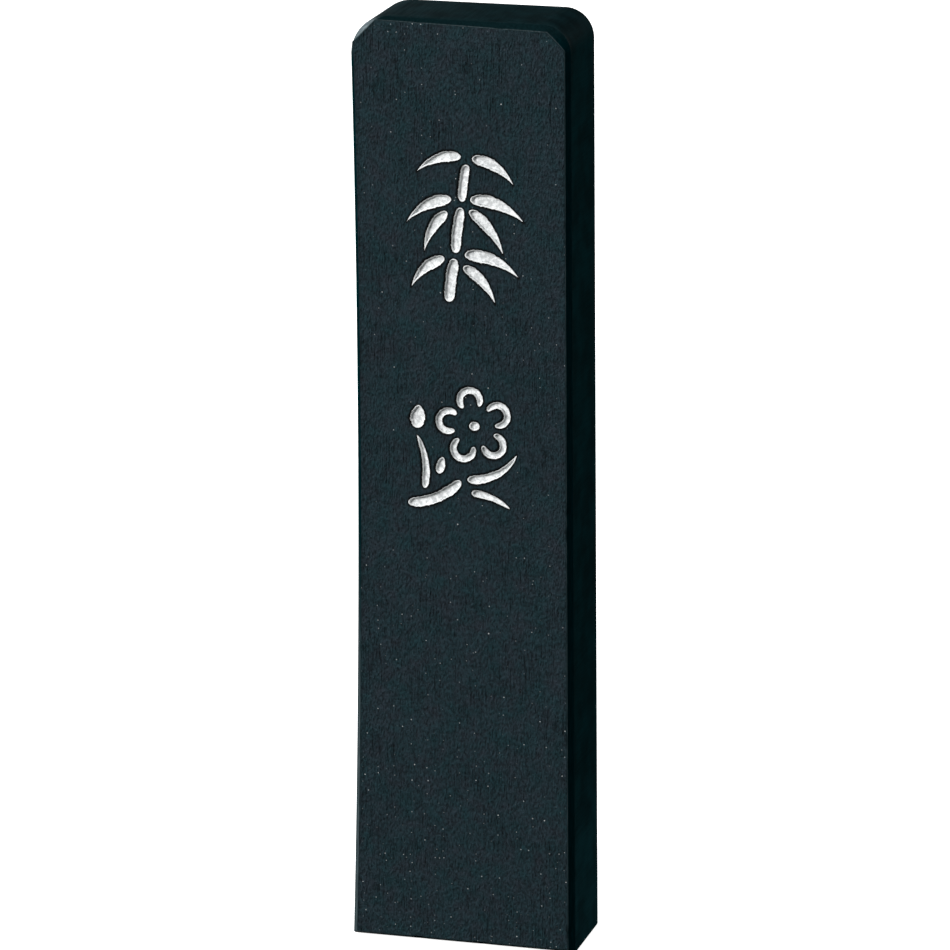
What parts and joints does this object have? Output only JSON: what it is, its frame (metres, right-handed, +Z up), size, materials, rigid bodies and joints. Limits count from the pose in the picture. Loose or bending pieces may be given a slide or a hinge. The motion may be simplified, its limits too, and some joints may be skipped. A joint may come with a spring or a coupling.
{
  "type": "ink stick",
  "caption": "Moulded rectangular stick of black calligraphy ink, with bevelled face, rounded top corners and engraved plant ornaments filled with white pigment.",
  "frame": {"origin": "middle of the foot, on the surface that the stick stands on", "axes": "+Z up the length of the stick, +Y from the engraved face through the thickness to the back, +X across the width to the right as seen from the engraved face"},
  "size_m": [0.0222, 0.0094, 0.09],
  "materials": {
    "soot_ink": "matte blue-black soot and glue, moulded and dried",
    "white_pigment": "chalky white mineral pigment, brushed on"
  },
  "bodies": {
    "root": {"ink_bar": "soot_ink", "pigment_bamboo_cane_1": "white_pigment", "pigment_bamboo_cane_2": "white_pigment", "pigment_bamboo_cane_3": "white_pigment", "pigment_bamboo_leaf_1": "white_pigment", "pigment_bamboo_leaf_2": "white_pigment", "pigment_bamboo_leaf_3": "white_pigment", "pigment_bamboo_leaf_4": "white_pigment", "pigment_bamboo_leaf_5": "white_pigment", "pigment_bamboo_leaf_6": "white_pigment", "pigment_bamboo_leaf_7": "white_pigment", "pigment_bamboo_leaf_8": "white_pigment", "pigment_bamboo_leaf_9": "white_pigment", "pigment_plum_branch_1": "white_pigment", "pigment_plum_branch_2": "white_pigment", "pigment_plum_bud_1": "white_pigment", "pigment_plum_bud_2": "white_pigment", "pigment_plum_heart": "white_pigment", "pigment_plum_petal_1": "white_pigment", "pigment_plum_petal_2": "white_pigment", "pigment_plum_petal_3": "white_pigment", "pigment_plum_petal_4": "white_pigment", "pigment_plum_petal_5": "white_pigment", "pigment_plum_twig_1": "white_pigment", "pigment_plum_twig_2": "white_pigment"}
  },
  "joints": []
}
